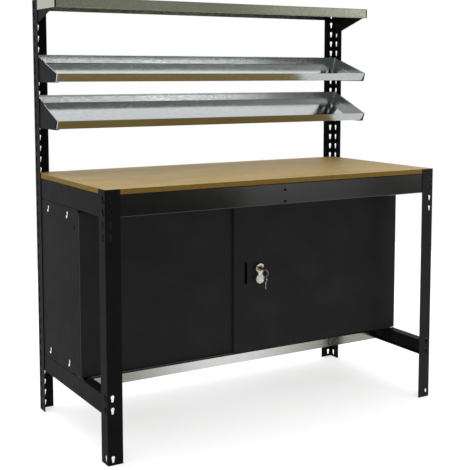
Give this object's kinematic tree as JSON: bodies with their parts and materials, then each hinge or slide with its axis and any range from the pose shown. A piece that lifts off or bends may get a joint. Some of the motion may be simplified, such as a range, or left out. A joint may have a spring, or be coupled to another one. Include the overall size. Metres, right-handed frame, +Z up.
{
  "type": "workbench",
  "caption": "Steel workbench with a chipboard top, perforated rear uprights carrying a top shelf and sloped trays, and a lockable cabinet with sliding doors.",
  "frame": {"origin": "middle of the footprint, on the floor", "axes": "+X to the right of someone standing at the bench, +Y from the front to the rear, +Z up"},
  "size_m": [1.2934, 0.6134, 1.445],
  "materials": {
    "black_paint": "satin black powder coat",
    "galvanised": "matt galvanised sheet",
    "chipboard": "bare pressed chipboard",
    "black_plastic": "matt black",
    "white_plastic": "natural nylon",
    "satin_steel": "satin"
  },
  "bodies": {
    "bench": {"rear_upright_left": "black_paint", "rear_upright_right": "black_paint", "front_leg_left": "black_paint", "front_leg_right": "black_paint", "top_front_beam": "black_paint", "top_rear_beam": "black_paint", "top_side_beam_left": "black_paint", "top_side_beam_right": "black_paint", "lower_crossbar_left": "black_paint", "lower_crossbar_right": "black_paint", "lower_rear_beam": "black_paint", "worktop_brace": "black_paint", "worktop_board": "chipboard", "lower_shelf": "galvanised", "top_shelf_tray": "galvanised", "top_shelf_bracket_left": "black_paint", "top_shelf_bracket_right": "black_paint", "upper_tray": "galvanised", "upper_tray_bracket_left": "black_paint", "upper_tray_bracket_right": "black_paint", "lower_tray": "galvanised", "lower_tray_bracket_left": "black_paint", "lower_tray_bracket_right": "black_paint", "cabinet_side_left": "black_paint", "cabinet_side_right": "black_paint", "cabinet_back": "black_paint", "cabinet_floor": "black_paint", "cabinet_top": "black_paint", "cabinet_bearer_upper_left": "galvanised", "cabinet_bearer_upper_right": "galvanised", "cabinet_bearer_lower_left": "galvanised", "cabinet_bearer_lower_right": "galvanised", "door_track_top": "black_paint", "door_track_bottom": "galvanised"},
    "left_door": {"door_left": "black_paint", "finger_pull_left": "black_plastic", "axle_1": "satin_steel", "axle_2": "satin_steel", "top_guide_1": "white_plastic", "top_guide_2": "white_plastic"},
    "right_door": {"door_right": "black_paint", "finger_pull_right": "black_plastic", "axle_3": "satin_steel", "axle_4": "satin_steel", "top_guide_3": "white_plastic", "top_guide_4": "white_plastic", "lock_case": "satin_steel"},
    "left_door_roller_1": {"roller_1": "white_plastic"},
    "left_door_roller_2": {"roller_2": "white_plastic"},
    "right_door_roller_3": {"roller_3": "white_plastic"},
    "right_door_roller_4": {"roller_4": "white_plastic"},
    "lock_plug": {"lock_cylinder": "satin_steel", "lock_cam": "satin_steel", "key": "satin_steel"},
    "bolt": {"lock_bolt": "satin_steel"},
    "key_bunch": {"key_ring": "satin_steel", "spare_key": "satin_steel"}
  },
  "joints": [
    {"name": "left_door_slide", "type": "slide", "parent": "bench", "child": "left_door", "axis": [1, 0, 0], "range_m": [0, 0.563]},
    {"name": "right_door_slide", "type": "slide", "parent": "bench", "child": "right_door", "axis": [-1, 0, 0], "range_m": [0, 0.563]},
    {"name": "roller_1_turn", "type": "hinge", "parent": "left_door", "child": "left_door_roller_1", "pos_m": [-0.5827, -0.0878, 0.2301], "axis": [0, 1, 0], "range_deg": [0, 3230]},
    {"name": "roller_2_turn", "type": "hinge", "parent": "left_door", "child": "left_door_roller_2", "pos_m": [0.019, -0.0878, 0.2301], "axis": [0, 1, 0], "range_deg": [0, 3230]},
    {"name": "roller_3_turn", "type": "hinge", "parent": "right_door", "child": "right_door_roller_3", "pos_m": [-0.019, -0.0988, 0.2301], "axis": [0, -1, 0], "range_deg": [0, 3230]},
    {"name": "roller_4_turn", "type": "hinge", "parent": "right_door", "child": "right_door_roller_4", "pos_m": [0.5827, -0.0988, 0.2301], "axis": [0, -1, 0], "range_deg": [0, 3230]},
    {"name": "key_turn", "type": "hinge", "parent": "right_door", "child": "lock_plug", "pos_m": [0.021, -0.1178, 0.514], "axis": [0, 1, 0], "range_deg": [0, 90]},
    {"name": "bolt_slide", "type": "slide", "parent": "right_door", "child": "bolt", "axis": [0, 1, 0], "range_m": [0, 0.008]},
    {"name": "key_bunch_swing", "type": "hinge", "parent": "lock_plug", "child": "key_bunch", "pos_m": [0.021, -0.1493, 0.514], "axis": [1, 0, 0], "range_deg": [-75, 15]}
  ],
  "couplings": [
    {"joint": "roller_1_turn", "follows": "left_door_slide", "rad_per_m": 100},
    {"joint": "roller_2_turn", "follows": "left_door_slide", "rad_per_m": 100},
    {"joint": "roller_3_turn", "follows": "right_door_slide", "rad_per_m": 100},
    {"joint": "roller_4_turn", "follows": "right_door_slide", "rad_per_m": 100},
    {"joint": "bolt_slide", "follows": "key_turn", "m_per_rad": 0.005092}
  ]
}
